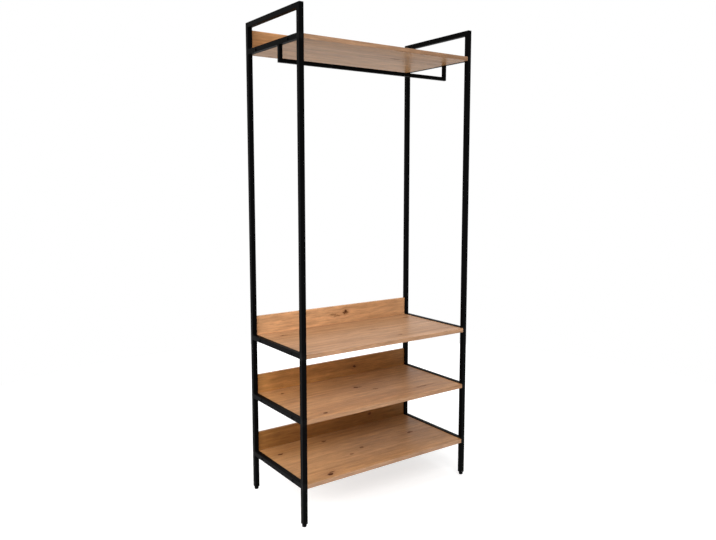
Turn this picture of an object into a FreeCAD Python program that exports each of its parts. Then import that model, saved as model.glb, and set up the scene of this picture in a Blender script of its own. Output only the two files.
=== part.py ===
import FreeCAD
import Part
import Sketcher
import math
import os
import re

# Open frame wardrobe: two welded side frames of square steel tube carry four oak-decor
# boards, each with a low upstand behind it, and a square clothes bar hung under the hat
# shelf. Every upright stands on a levelling foot that screws into a plug in the tube.
#
# Frame: +Z up, front towards -Y, origin on the floor at the middle of the footprint.
# All sizes are in millimetres.

doc = FreeCAD.newDocument("open_frame_wardrobe")

# Driving sizes
SIZES = {
    # whole piece
    "overall_width": 800,
    "overall_depth": 400,
    "overall_height": 1850,
    # square tube of the side frames
    "tube_size": 19,
    "tube_wall": 1.2,
    "tube_corner": 1.5,
    # heights of the side rails' upper faces: the hat rail's is measured down from the top
    "hat_gap": 100,
    "lowest_rail_top": 162,
    "shelf_pitch": 240,
    # boards
    "board_thickness": 16,
    "board_edge_round": 0.6,
    "edge_band": 1,
    "upstand_thickness": 12,
    "upstand_rise": 76,
    # clothes bar: a thinner tube, bar_drop of clear height under the side rail
    "bar_tube": 14,
    "bar_wall": 1.2,
    "bar_corner": 1.3,
    "bar_drop": 47,
    "bar_forward": 50,
    # shelf bolts and the nuts they run into
    "bolt_diameter": 6,
    "bolt_hole_play": 0.4,
    "bolt_head_diameter": 11,
    "bolt_head_height": 2.4,
    "bolt_inset": 60,
    "bolt_grip": 11,
    "insert_diameter": 9,
    "insert_length": 13,
    "nut_block_height": 14,
    # upstand screws
    "screw_diameter": 4,
    "screw_head_diameter": 8,
    "screw_head_height": 2,
    "screw_length": 40,
    "screw_inset": 81,
    "screws_per_upstand": 4,
    # levelling feet
    "flange_thickness": 2,
    "flange_chamfer": 1.4,
    "plug_depth": 20,
    "stud_diameter": 8,
    "stud_length": 28,
    "stud_seat": 7,
    "pad_diameter": 17,
    "pad_height": 9.7,
    "pad_round": 1.6,
    "pad_bevel": 0.7,
    "pad_gap": 0.3,
    # clearance left all round by a piece that is pushed or turned into another
    "fit_clearance": 0.05,
}

sheet = doc.addObject("Spreadsheet::Sheet", "dims")
for row, (alias, size) in enumerate(SIZES.items(), start=1):
    sheet.set("A%d" % row, alias)
    sheet.set("B%d" % row, str(size))
    sheet.setAlias("B%d" % row, alias)
doc.recompute()

# Lengths and places that follow from the driving sizes
RAIL_LENGTH = "(overall_depth - 2 * tube_size)"
SHELF_LENGTH = "(overall_width - 2 * tube_size)"
FOOT_HEIGHT = "(flange_thickness + pad_gap + pad_height)"
UPRIGHT_LENGTH = "(overall_height - %s)" % FOOT_HEIGHT
FRAME_X = "(overall_width / 2 - tube_size / 2)"
FRAME_Y = "(overall_depth / 2 - tube_size / 2)"
BOARD_FRONT = "(edge_band - overall_depth / 2)"
BOARD_REAR = "(overall_depth / 2 - upstand_thickness)"
UPSTAND_HEIGHT = "(board_thickness + upstand_rise)"
BOLT_Y = "(%s / 2 - bolt_inset)" % RAIL_LENGTH
BOLT_HOLE = "(bolt_diameter + bolt_hole_play)"
BORE_FOR_BOLT = "(bolt_diameter + 2 * fit_clearance)"
BORE_FOR_STUD = "(stud_diameter + 2 * fit_clearance)"
BORE_FOR_INSERT = "(insert_diameter + 2 * fit_clearance)"
BORE_FOR_SCREW = "(screw_diameter + 2 * fit_clearance)"
SCREW_SPAN = "(%s - 2 * screw_inset)" % SHELF_LENGTH
BORE_FOR_HEAD = "(screw_head_diameter + 2 * fit_clearance)"
BAR_LENGTH = "(overall_width - tube_size + bar_tube)"
HAT_RAIL_TOP = "(overall_height - hat_gap)"
BAR_BOTTOM = "(%s - tube_size - bar_drop - bar_tube)" % HAT_RAIL_TOP

LEVELS = {
    "hat": HAT_RAIL_TOP,
    "upper": "(lowest_rail_top + 2 * shelf_pitch)",
    "middle": "(lowest_rail_top + shelf_pitch)",
    "lower": "lowest_rail_top",
}
# Boards lie flush with the undersides of their rails, which stand a little proud above them
BOARD_BOTTOM = {level: "(%s - tube_size)" % top for level, top in LEVELS.items()}
BOARD_MIDDLE = {level: "(%s + board_thickness / 2)" % bottom for level, bottom in BOARD_BOTTOM.items()}
SIDES = {"left": -1, "right": 1}
ENDS = {"front": -1, "rear": 1}

UP = FreeCAD.Vector(0, 0, 1)
# Sides of the round outlines: holes and shanks, bolt heads, studs and their bores, pads
SHANK_SIDES = 8
HEAD_SIDES = 12
STUD_SIDES = 16
PAD_SIDES = 24

subparts = []


def words_to_cells(text):
    """Turn a formula in plain size names into one that names the sheet's cells."""
    def cell(match):
        word = match.group()
        return "dims." + word if word in SIZES else word
    return re.sub(r"[a-z][a-z_]+", cell, text)


def bind(thing, field, text):
    thing.setExpression(field, words_to_cells(text))


def value(text):
    """The present size of a formula, for a sketch's first guess."""
    return float(sheet.evalExpression(words_to_cells(text)))


def new_body(label):
    body = doc.addObject("PartDesign::Body", "body")
    body.Label = label.replace(" ", "_")
    body.AllowCompound = True
    subparts.append(body)
    return body


def origin_feature(body, role):
    for feature in body.Origin.OriginFeatures:
        if feature.Role == role:
            return feature
    raise ValueError(role)


def new_sketch(body, role, offset=None):
    """A sketch on one of the body's own planes, moved along the plane's normal by offset."""
    sketch = body.newObject("Sketcher::SketchObject", "sketch")
    sketch.AttachmentSupport = [(origin_feature(body, role), "")]
    sketch.MapMode = "FlatFace"
    if offset:
        bind(sketch, "AttachmentOffset.Base.z", offset)
    return sketch


def place(body, x="0", y="0", z="0", turn=0):
    """Put the body at its place in the wardrobe, turned about the vertical."""
    body.Placement = FreeCAD.Placement(FreeCAD.Vector(), FreeCAD.Rotation(UP, turn))
    bind(body, "Placement.Base.x", x)
    bind(body, "Placement.Base.y", y)
    bind(body, "Placement.Base.z", z)


def fix_point(sketch, line, end, x, y):
    """Hold one end of a line at a place given by two formulas."""
    for kind, text in (("DistanceX", x), ("DistanceY", y)):
        number = sketch.addConstraint(Sketcher.Constraint(kind, -1, 1, line, end, value(text)))
        bind(sketch, "Constraints[%d]" % number, text)


def polygon(sketch, corners):
    """A closed outline through corners that are each given by two formulas."""
    points = [FreeCAD.Vector(value(x), value(y), 0) for x, y in corners]
    count = len(corners)
    lines = [sketch.addGeometry(Part.LineSegment(points[i], points[(i + 1) % count])) for i in range(count)]
    for i in range(count):
        following = lines[(i + 1) % count]
        sketch.addConstraint(Sketcher.Constraint("Coincident", lines[i], 2, following, 1))
    for line, (x, y) in zip(lines, corners):
        fix_point(sketch, line, 1, x, y)


def rectangle(sketch, x_low, x_high, y_low, y_high):
    polygon(sketch, [(x_low, y_low), (x_high, y_low), (x_high, y_high), (x_low, y_high)])


def centred_square(sketch, side):
    half = "(%s) / 2" % side
    rectangle(sketch, "-" + half, half, "-" + half, half)


def rounded_square(sketch, side, corner):
    """A square about the origin whose corners are quarter circles."""
    half = value(side) / 2
    radius = value(corner)
    flat = half - radius
    lines = []
    arcs = []
    for number in range(4):
        turned = FreeCAD.Rotation(UP, 90 * number)
        start = turned.multVec(FreeCAD.Vector(-flat, -half, 0))
        end = turned.multVec(FreeCAD.Vector(flat, -half, 0))
        centre = turned.multVec(FreeCAD.Vector(flat, -flat, 0))
        first = math.radians((270 + 90 * number) % 360)
        arc = Part.ArcOfCircle(Part.Circle(centre, UP, radius), first, first + math.pi / 2)
        lines.append(sketch.addGeometry(Part.LineSegment(start, end)))
        arcs.append(sketch.addGeometry(arc))
    for number in range(4):
        following = lines[(number + 1) % 4]
        sketch.addConstraint(Sketcher.Constraint("Tangent", lines[number], 2, arcs[number], 1))
        sketch.addConstraint(Sketcher.Constraint("Tangent", arcs[number], 2, following, 1))
    sketch.addConstraint(Sketcher.Constraint("Horizontal", lines[0]))
    sketch.addConstraint(Sketcher.Constraint("Vertical", lines[1]))
    sketch.addConstraint(Sketcher.Constraint("Horizontal", lines[2]))
    sketch.addConstraint(Sketcher.Constraint("Vertical", lines[3]))
    for arc in arcs[1:]:
        sketch.addConstraint(Sketcher.Constraint("Equal", arcs[0], arc))
    sketch.addConstraint(Sketcher.Constraint("Symmetric", arcs[0], 3, arcs[2], 3, -1, 1))
    number = sketch.addConstraint(Sketcher.Constraint("Radius", arcs[0], radius))
    bind(sketch, "Constraints[%d]" % number, corner)
    number = sketch.addConstraint(Sketcher.Constraint("DistanceX", lines[3], 1, lines[1], 1, 2 * half))
    bind(sketch, "Constraints[%d]" % number, side)
    number = sketch.addConstraint(Sketcher.Constraint("DistanceY", lines[0], 1, lines[2], 1, 2 * half))
    bind(sketch, "Constraints[%d]" % number, side)


def few_sided(sketch, x, y, diameter, sides):
    """A round outline drawn with a few straight sides, so that what repeats stays light."""
    corners = []
    for number in range(sides):
        angle = 2 * math.pi * (number + 0.5) / sides
        across = "%s + %.6f * %s" % (x, math.cos(angle) / 2, diameter)
        along = "%s + %.6f * %s" % (y, math.sin(angle) / 2, diameter)
        corners.append((across, along))
    polygon(sketch, corners)


def pad(body, sketch, length, middle=False, backwards=False):
    feature = body.newObject("PartDesign::Pad", "pad")
    feature.Profile = sketch
    bind(feature, "Length", length)
    feature.Midplane = middle
    feature.Reversed = backwards
    return feature


def cut_through(body, sketch):
    """Cut the outline right through the body, both ways from its plane."""
    feature = body.newObject("PartDesign::Pocket", "cut")
    feature.Profile = sketch
    feature.Type = "ThroughAll"
    feature.Midplane = True
    return feature


def cut_blind(body, sketch, depth, backwards=False):
    feature = body.newObject("PartDesign::Pocket", "blind_cut")
    feature.Profile = sketch
    bind(feature, "Length", depth)
    feature.Reversed = backwards
    return feature


def mirror(body, features, role):
    copy = body.newObject("PartDesign::Mirrored", "mirrored")
    copy.Originals = features
    copy.MirrorPlane = (origin_feature(body, role), [""])
    body.Tip = copy
    return copy


def mirror_four_ways(body, features):
    """Repeat features at both ends and at front and back of the body."""
    many = body.newObject("PartDesign::MultiTransform", "four_places")
    many.Originals = features
    steps = []
    for role in ("YZ_Plane", "XZ_Plane"):
        step = body.newObject("PartDesign::Mirrored", "mirror_step")
        step.MirrorPlane = (origin_feature(body, role), [""])
        steps.append(step)
    many.Transformations = steps
    body.Tip = many
    return many


TUBE_PLANE = {"X": "YZ_Plane", "Y": "XZ_Plane", "Z": "XY_Plane"}


def tube(label, axis, length, side, wall, corner):
    """A length of rounded square tube. Tubes that lie down are made about their middle."""
    body = new_body(label)
    sketch = new_sketch(body, TUBE_PLANE[axis])
    rounded_square(sketch, side, corner)
    centred_square(sketch, "%s - 2 * %s" % (side, wall))
    pad(body, sketch, length, middle=axis != "Z")
    return body


# Side frames: uprights with mitred tops, closed by a mitred top rail
def upright(side, end):
    body = tube("%s %s upright" % (side, end), "Z", UPRIGHT_LENGTH, "tube_size", "tube_wall", "tube_corner")
    mitre = new_sketch(body, "YZ_Plane")
    half = "tube_size / 2"
    top = UPRIGHT_LENGTH
    over = "tube_wall"
    polygon(mitre, [
        ("-%s - %s" % (half, over), "%s + %s" % (top, over)),
        ("%s + %s" % (half, over), "%s - tube_size - %s" % (top, over)),
        ("%s + %s" % (half, over), "%s + %s" % (top, over)),
    ])
    cut_through(body, mitre)
    x = "%d * %s" % (SIDES[side], FRAME_X)
    y = "%d * %s" % (ENDS[end], FRAME_Y)
    place(body, x, y, FOOT_HEIGHT, turn=0 if end == "front" else 180)


def top_rail(side):
    body = tube("%s top rail" % side, "Y", "overall_depth", "tube_size", "tube_wall", "tube_corner")
    mitre = new_sketch(body, "YZ_Plane")
    half = "tube_size / 2"
    over = "tube_wall"
    for sign in (-1, 1):
        tip = "%d * (overall_depth / 2 + %s)" % (sign, over)
        root = "%d * (overall_depth / 2 - tube_size - %s)" % (sign, over)
        polygon(mitre, [(tip, "%s + %s" % (half, over)), (tip, "-%s - %s" % (half, over)),
                        (root, "-%s - %s" % (half, over))])
    cut_through(body, mitre)
    place(body, "%d * %s" % (SIDES[side], FRAME_X), "0", "overall_height - tube_size / 2")


# Side rails: butted between the uprights and bored across for the shelf bolts. The pair at
# hat height is also bored upright for the bolts that carry the clothes bar.
def side_rail(side, level):
    body = tube("%s %s rail" % (side, level), "Y", RAIL_LENGTH, "tube_size", "tube_wall", "tube_corner")
    across = new_sketch(body, "YZ_Plane")
    for sign in (-1, 1):
        height = "(board_thickness - tube_size) / 2"
        few_sided(across, "%d * %s" % (sign, BOLT_Y), height, BOLT_HOLE, SHANK_SIDES)
    cut_through(body, across)
    if level == "hat":
        down = new_sketch(body, "XY_Plane")
        few_sided(down, "0", "-bar_forward", BOLT_HOLE, SHANK_SIDES)
        cut_through(body, down)
    place(body, "%d * %s" % (SIDES[side], FRAME_X), "0", "%s - tube_size / 2" % LEVELS[level])


# Boards: bored in both ends for insert nuts and in the rear edge for the upstand's screws
def shelf(level):
    body = new_body("%s shelf" % level)
    outline = new_sketch(body, "XY_Plane")
    rectangle(outline, "-%s / 2" % SHELF_LENGTH, "%s / 2" % SHELF_LENGTH, BOARD_FRONT, BOARD_REAR)
    pad(body, outline, "board_thickness")
    ends = new_sketch(body, "YZ_Plane", offset="%s / 2" % SHELF_LENGTH)
    for sign in (-1, 1):
        few_sided(ends, "%d * %s" % (sign, BOLT_Y), "board_thickness / 2", BORE_FOR_INSERT, SHANK_SIDES)
    bores = cut_blind(body, ends, "insert_length")
    mirror(body, [bores], "YZ_Plane")
    rear = new_sketch(body, "XZ_Plane", offset="-%s" % BOARD_REAR)
    few_sided(rear, "-%s / 2" % SCREW_SPAN, "board_thickness / 2", BORE_FOR_SCREW, SHANK_SIDES)
    pilot = cut_blind(body, rear, "screw_length - upstand_thickness", backwards=True)
    repeat_along_x(body, [pilot])
    place(body, z=BOARD_BOTTOM[level])


def repeat_along_x(body, features):
    """Repeat a screw or its hole along the whole upstand."""
    row = body.newObject("PartDesign::LinearPattern", "row")
    row.Originals = features
    row.Direction = (origin_feature(body, "X_Axis"), [""])
    bind(row, "Length", SCREW_SPAN)
    bind(row, "Occurrences", "screws_per_upstand")
    body.Tip = row
    return row


def edges_along_x(feature, z, y=None):
    """Names of the feature's edges that run along X at the given height."""
    names = []
    for number, edge in enumerate(feature.Shape.Edges, start=1):
        box = edge.BoundBox
        level = abs(box.ZMin - z) < 0.001 and abs(box.ZMax - z) < 0.001
        at_depth = y is None or abs(box.YMin - y) < 0.001 and abs(box.YMax - y) < 0.001
        if box.XLength > 50 and level and at_depth:
            names.append("Edge%d" % number)
    return names


def round_edges(body, feature, names, radius):
    rounding = body.newObject("PartDesign::Fillet", "rounding")
    rounding.Base = (feature, names)
    bind(rounding, "Radius", radius)
    return rounding


def front_band(level):
    body = new_body("%s shelf front edge band" % level)
    outline = new_sketch(body, "XY_Plane")
    rectangle(outline, "-%s / 2" % SHELF_LENGTH, "%s / 2" % SHELF_LENGTH, "0", "edge_band")
    strip = pad(body, outline, "board_thickness")
    doc.recompute()
    names = edges_along_x(strip, 0, y=0) + edges_along_x(strip, value("board_thickness"), y=0)
    round_edges(body, strip, names, "board_edge_round")
    place(body, y="-overall_depth / 2", z=BOARD_BOTTOM[level])


# Upstands: stand behind the boards, their lower edges level with the boards' undersides
def upstand(level):
    body = new_body("%s shelf upstand" % level)
    outline = new_sketch(body, "XZ_Plane")
    rectangle(outline, "-%s / 2" % SHELF_LENGTH, "%s / 2" % SHELF_LENGTH, "0", UPSTAND_HEIGHT)
    strip = pad(body, outline, "upstand_thickness", backwards=True)
    doc.recompute()
    round_edges(body, strip, edges_along_x(strip, value(UPSTAND_HEIGHT)), "board_edge_round")
    doc.recompute()
    left = "-%s / 2" % SCREW_SPAN
    neck = new_sketch(body, "XZ_Plane")
    few_sided(neck, left, "board_thickness / 2", BORE_FOR_SCREW, SHANK_SIDES)
    repeat_along_x(body, [cut_blind(body, neck, "upstand_thickness")])
    seat = new_sketch(body, "XZ_Plane", offset="-upstand_thickness")
    few_sided(seat, left, "board_thickness / 2", BORE_FOR_HEAD, SHANK_SIDES)
    repeat_along_x(body, [cut_blind(body, seat, "screw_head_height", backwards=True)])
    place(body, y=BOARD_REAR, z=BOARD_BOTTOM[level])


def upstand_screws(level):
    body = new_body("%s shelf upstand screws" % level)
    disc = new_sketch(body, "XZ_Plane")
    few_sided(disc, "0", "0", "screw_head_diameter", SHANK_SIDES)
    head = pad(body, disc, "screw_head_height")
    core = new_sketch(body, "XZ_Plane")
    few_sided(core, "0", "0", "screw_diameter", SHANK_SIDES)
    shank = pad(body, core, "screw_length")
    repeat_along_x(body, [head, shank])
    place(body, "-%s / 2" % SCREW_SPAN, "overall_depth / 2", BOARD_MIDDLE[level])


# Shelf bolts: low flat heads outside the side rails, shanks across the tube into the nuts
def bolt_features(body, plane, x, y, face=None):
    """A bolt's head and shank, drawn on the face that the head rests on."""
    disc = new_sketch(body, plane, offset=face)
    few_sided(disc, x, y, "bolt_head_diameter", HEAD_SIDES)
    head = pad(body, disc, "bolt_head_height")
    core = new_sketch(body, plane, offset=face)
    few_sided(core, x, y, "bolt_diameter", SHANK_SIDES)
    shank = pad(body, core, "tube_size + bolt_grip", backwards=True)
    return [head, shank]


def shelf_bolts(level):
    body = new_body("%s shelf bolts" % level)
    mirror_four_ways(body, bolt_features(body, "YZ_Plane", BOLT_Y, "0", "overall_width / 2"))
    place(body, z=BOARD_MIDDLE[level])


def shelf_nuts(level):
    body = new_body("%s shelf insert nuts" % level)
    ring = new_sketch(body, "YZ_Plane", offset="%s / 2" % SHELF_LENGTH)
    few_sided(ring, BOLT_Y, "0", "insert_diameter", SHANK_SIDES)
    few_sided(ring, BOLT_Y, "0", BORE_FOR_BOLT, SHANK_SIDES)
    nut = pad(body, ring, "insert_length", backwards=True)
    mirror_four_ways(body, [nut])
    place(body, z=BOARD_MIDDLE[level])


# Clothes bar: two drops and a bar of thinner tube, mitred into one flat U
def clothes_bar():
    body = tube("clothes bar", "X", BAR_LENGTH, "bar_tube", "bar_wall", "bar_corner")
    mitre = new_sketch(body, "XZ_Plane")
    half = "bar_tube / 2"
    over = "bar_wall"
    for sign in (-1, 1):
        tip = "%d * (%s / 2 + %s)" % (sign, BAR_LENGTH, over)
        root = "%d * (%s / 2 - bar_tube - %s)" % (sign, BAR_LENGTH, over)
        polygon(mitre, [(tip, "-%s - %s" % (half, over)), (tip, "%s + %s" % (half, over)),
                        (root, "%s + %s" % (half, over))])
    cut_through(body, mitre)
    place(body, "0", "-bar_forward", "%s + bar_tube / 2" % BAR_BOTTOM)


def bar_drop(side):
    length = "bar_drop + bar_tube"
    body = tube("%s clothes bar drop" % side, "Z", length, "bar_tube", "bar_wall", "bar_corner")
    mitre = new_sketch(body, "XZ_Plane")
    half = "bar_tube / 2"
    over = "bar_wall"
    polygon(mitre, [
        ("%s + %s" % (half, over), "-%s" % over),
        ("-%s - %s" % (half, over), "bar_tube + %s" % over),
        ("-%s - %s" % (half, over), "-%s" % over),
    ])
    cut_through(body, mitre)
    turn = 0 if side == "right" else 180
    place(body, "%d * %s" % (SIDES[side], FRAME_X), "-bar_forward", BAR_BOTTOM, turn)


def nut_blocks():
    """Threaded blocks welded into the upper ends of the drops."""
    body = new_body("clothes bar nut blocks")
    section = new_sketch(body, "XY_Plane")
    half = "(bar_tube / 2 - bar_wall - fit_clearance)"
    rectangle(section, "%s - %s" % (FRAME_X, half), "%s + %s" % (FRAME_X, half), "-" + half, half)
    few_sided(section, FRAME_X, "0", BORE_FOR_BOLT, SHANK_SIDES)
    block = pad(body, section, "nut_block_height", backwards=True)
    mirror(body, [block], "YZ_Plane")
    place(body, "0", "-bar_forward", "%s - tube_size" % HAT_RAIL_TOP)


def bar_bolts():
    body = new_body("clothes bar bolts")
    mirror(body, bolt_features(body, "XY_Plane", FRAME_X, "0"), "YZ_Plane")
    place(body, "0", "-bar_forward", HAT_RAIL_TOP)


def bevel_rim(body, feature, level, size):
    """Bevel the edges round the feature's lowest or highest face."""
    doc.recompute()
    box = feature.Shape.BoundBox
    height = box.ZMin if level == "low" else box.ZMax
    names = []
    for number, edge in enumerate(feature.Shape.Edges, start=1):
        if abs(edge.BoundBox.ZMax - height) < 0.001 and abs(edge.BoundBox.ZMin - height) < 0.001:
            names.append("Edge%d" % number)
    bevel = body.newObject("PartDesign::Chamfer", "bevel")
    bevel.Base = (feature, names)
    bind(bevel, "Size", size)
    return bevel


# Levelling feet: a plug in the tube's end, and a pad on a stud that screws into the plug
def tube_plug(side, end):
    body = new_body("%s %s tube plug" % (side, end))
    rim = new_sketch(body, "XY_Plane")
    rounded_square(rim, "tube_size", "tube_corner")
    flange = pad(body, rim, "flange_thickness", backwards=True)
    bevel_rim(body, flange, "low", "flange_chamfer")
    core = new_sketch(body, "XY_Plane")
    centred_square(core, "tube_size - 2 * tube_wall - 2 * fit_clearance")
    pad(body, core, "plug_depth")
    bore = new_sketch(body, "XY_Plane")
    few_sided(bore, "0", "0", BORE_FOR_STUD, STUD_SIDES)
    cut_through(body, bore)
    place(body, "%d * %s" % (SIDES[side], FRAME_X), "%d * %s" % (ENDS[end], FRAME_Y), FOOT_HEIGHT)


def foot_pad(side, end):
    body = new_body("%s %s foot pad" % (side, end))
    disc = new_sketch(body, "XY_Plane")
    few_sided(disc, "0", "0", "pad_diameter", PAD_SIDES)
    block = pad(body, disc, "pad_height")
    block = bevel_rim(body, block, "low", "pad_round")
    bevel_rim(body, block, "high", "pad_bevel")
    seat = new_sketch(body, "XY_Plane", offset="pad_height")
    few_sided(seat, "0", "0", BORE_FOR_STUD, STUD_SIDES)
    cut_blind(body, seat, "stud_seat")
    place(body, "%d * %s" % (SIDES[side], FRAME_X), "%d * %s" % (ENDS[end], FRAME_Y), "0")


def foot_stud(side, end):
    body = new_body("%s %s foot stud" % (side, end))
    core = new_sketch(body, "XY_Plane")
    few_sided(core, "0", "0", "stud_diameter", STUD_SIDES)
    rod = pad(body, core, "stud_length")
    bevel_rim(body, rod, "high", "stud_diameter / 8")
    x = "%d * %s" % (SIDES[side], FRAME_X)
    y = "%d * %s" % (ENDS[end], FRAME_Y)
    place(body, x, y, "pad_height - stud_seat")


for side in SIDES:
    for end in ENDS:
        upright(side, end)
        tube_plug(side, end)
        foot_pad(side, end)
        foot_stud(side, end)
    top_rail(side)
    for level in LEVELS:
        side_rail(side, level)
    bar_drop(side)
for level in LEVELS:
    shelf(level)
    front_band(level)
    upstand(level)
    upstand_screws(level)
    shelf_bolts(level)
    shelf_nuts(level)
clothes_bar()
nut_blocks()
bar_bolts()
doc.recompute()

# Nothing is written unless every object is sound
for thing in doc.Objects:
    faults = [state for state in thing.State if state in ("Invalid", "Error")]
    if faults:
        raise RuntimeError("%s in %s: %s" % (thing.Name, thing.Label, faults))
for body in subparts:
    if body.Shape.isNull() or not body.Shape.isValid() or not body.Shape.Solids:
        raise RuntimeError("no sound solid in " + body.Label)

os.makedirs("parts", exist_ok=True)
for body in subparts:
    body.Shape.exportStep("parts/%s.step" % body.Label)
    box = body.Shape.BoundBox
    print("%-34s %d solid(s) %9.0f mm3  z %.1f to %.1f" % (
        body.Label, len(body.Shape.Solids), body.Shape.Volume, box.ZMin, box.ZMax))
print(len(subparts), "sub-parts written")
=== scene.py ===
# %% [markdown]
# The open frame wardrobe is two black tube frames that carry four oak-decor boards and a clothes bar.
# The imported CAD model already has every tube, board, bolt and foot at its true size.
# This lesson loads that model, stands it in a small studio and gives each piece its finish.

# %% Load the wardrobe
import math

import bpy
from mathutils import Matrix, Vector


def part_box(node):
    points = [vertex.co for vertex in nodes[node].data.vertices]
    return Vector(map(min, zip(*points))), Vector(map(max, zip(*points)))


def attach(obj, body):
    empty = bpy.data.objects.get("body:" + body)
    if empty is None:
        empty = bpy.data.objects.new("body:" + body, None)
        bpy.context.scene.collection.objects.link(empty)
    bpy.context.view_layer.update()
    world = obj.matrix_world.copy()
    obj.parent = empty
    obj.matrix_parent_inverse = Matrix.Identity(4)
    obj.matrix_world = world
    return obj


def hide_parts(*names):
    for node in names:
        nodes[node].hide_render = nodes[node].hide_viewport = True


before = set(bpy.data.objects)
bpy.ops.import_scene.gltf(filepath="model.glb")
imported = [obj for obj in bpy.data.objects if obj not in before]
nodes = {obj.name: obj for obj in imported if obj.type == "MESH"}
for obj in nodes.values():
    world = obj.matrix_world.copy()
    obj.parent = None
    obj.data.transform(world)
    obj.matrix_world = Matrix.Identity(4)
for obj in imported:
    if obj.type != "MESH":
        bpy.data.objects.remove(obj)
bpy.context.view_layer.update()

MM = 0.001


def pieces_named(*endings):
    return [nodes[name] for name in sorted(nodes) if name.endswith(endings)]


# %% [markdown]
# The photograph is taken from the left front, above the middle of the wardrobe, with a lens of about 35 mm.
# Its camera was found by lining up the straight edges of the tubes and boards.
# The uprights stand parallel in the photograph, which is the mark of a shifted lens.
# A small shift and a small tilt share that work here, so the whole wardrobe also fits the other views.

# %% Set up the camera
# Pixels for the photograph, millimetres for the sensor, metres for the place and radians for the angles
PHOTO_WIDTH = 716
FOCAL_LENGTH_IN_PIXELS = 685.1
SENSOR_WIDTH = 36
CAMERA_PLACE = (-1.6057, -2.2420, 1.2543)
CAMERA_TURN = 0.61675
CAMERA_TILT = -0.10945
LENS_SHIFT = -0.02

camera_data = bpy.data.cameras.new("photograph_camera")
camera = bpy.data.objects.new("photograph_camera", camera_data)
bpy.context.scene.collection.objects.link(camera)
camera_data.sensor_width = SENSOR_WIDTH
camera_data.lens = FOCAL_LENGTH_IN_PIXELS / PHOTO_WIDTH * SENSOR_WIDTH
camera_data.shift_y = LENS_SHIFT
camera.location = CAMERA_PLACE
camera.rotation_euler = (math.pi / 2 + CAMERA_TILT, 0, -CAMERA_TURN)
bpy.context.scene.camera = camera
print("lens", round(camera_data.lens, 2), "mm, turned", round(math.degrees(CAMERA_TURN), 1), "degrees")

# %% [markdown]
# A material is a small graph of nodes, and most graphs here need the same few steps.
# These helpers add a node, link or fill a socket, do a sum, stretch a noise and blend two colours.
# A noise runs from nought to one, but most of it lies in a narrower span, which drift stretches.
# Every pattern is read from Object coordinates in metres, so it stays on the piece in every view and pose.

# %% Helpers for node materials
NOISE_LOW = 0.3
NOISE_HIGH = 0.7


def add(tree, kind, **settings):
    made = tree.nodes.new(kind)
    for setting, value in settings.items():
        setattr(made, setting, value)
    return made


def feed(tree, socket, value):
    if isinstance(value, bpy.types.NodeSocket):
        tree.links.new(value, socket)
    else:
        socket.default_value = value


def calc(tree, operation, *values):
    made = add(tree, "ShaderNodeMath", operation=operation)
    for socket, value in zip(made.inputs, values):
        feed(tree, socket, value)
    return made.outputs[0]


def vector_calc(tree, operation, *values, output="Vector"):
    made = add(tree, "ShaderNodeVectorMath", operation=operation)
    for socket, value in zip(made.inputs, values):
        feed(tree, socket, value)
    return made.outputs[output]


def scaled(tree, colour, amount):
    made = add(tree, "ShaderNodeVectorMath", operation="SCALE")
    feed(tree, made.inputs[0], colour)
    feed(tree, made.inputs["Scale"], amount)
    return made.outputs[0]


def noise(tree, place, stretch, detail=3.0, roughness=0.5, distortion=0.0):
    made = add(tree, "ShaderNodeTexNoise")
    feed(tree, made.inputs["Vector"], vector_calc(tree, "MULTIPLY", place, stretch))
    feed(tree, made.inputs["Scale"], 1.0)
    feed(tree, made.inputs["Detail"], detail)
    feed(tree, made.inputs["Roughness"], roughness)
    feed(tree, made.inputs["Distortion"], distortion)
    return made.outputs["Fac"]


def spread(tree, value, low, high, to_low, to_high):
    made = add(tree, "ShaderNodeMapRange", clamp=True)
    for socket, number in zip(made.inputs, (value, low, high, to_low, to_high)):
        feed(tree, socket, number)
    return made.outputs[0]


def drift(tree, pattern, to_low, to_high):
    """Let a value drift with a noise from one end of its range to the other."""
    return spread(tree, pattern, NOISE_LOW, NOISE_HIGH, to_low, to_high)


def blend(tree, amount, first, second):
    made = add(tree, "ShaderNodeMix", data_type="RGBA", clamp_factor=True)
    feed(tree, made.inputs[0], amount)
    feed(tree, made.inputs[6], first)
    feed(tree, made.inputs[7], second)
    return made.outputs[2]


def bump(tree, height, strength, distance):
    made = add(tree, "ShaderNodeBump")
    feed(tree, made.inputs["Strength"], strength)
    feed(tree, made.inputs["Distance"], distance)
    feed(tree, made.inputs["Height"], height)
    return made.outputs["Normal"]


def new_finish(name):
    material = bpy.data.materials.new(name)
    material.use_nodes = True
    tree = material.node_tree
    place = add(tree, "ShaderNodeTexCoord").outputs["Object"]
    return material, tree, tree.nodes["Principled BSDF"], place


def wear(finish, *pieces):
    for piece in pieces:
        piece.data.materials.clear()
        piece.data.materials.append(finish)


print("helpers for materials, with a noise read from", NOISE_LOW, "to", NOISE_HIGH)

# %% [markdown]
# The studio is a glowing room, a pale round floor and three soft lamps.
# The room is the world's background, which needs no walls. Its glow is stronger from the back than from the
# front, and dimmer than white on both sides, so that the lamps still shape the boards.
# The camera sees the room as white, and so does what mirrors or passes its rays.

# %% Light the room
GLOW_FRONT = 0.33
GLOW_BACK = 0.52
# The glow goes over from front to back while the direction's Y goes from minus this to plus this
GLOW_TURN = 0.5


def seen_or_mirrored(tree):
    """One for rays from the camera, a mirror or a glass, nought for rays that light the object."""
    path = add(tree, "ShaderNodeLightPath").outputs
    mirrored = calc(tree, "MAXIMUM", path["Is Glossy Ray"], path["Is Transmission Ray"])
    return calc(tree, "MAXIMUM", path["Is Camera Ray"], mirrored)


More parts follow.
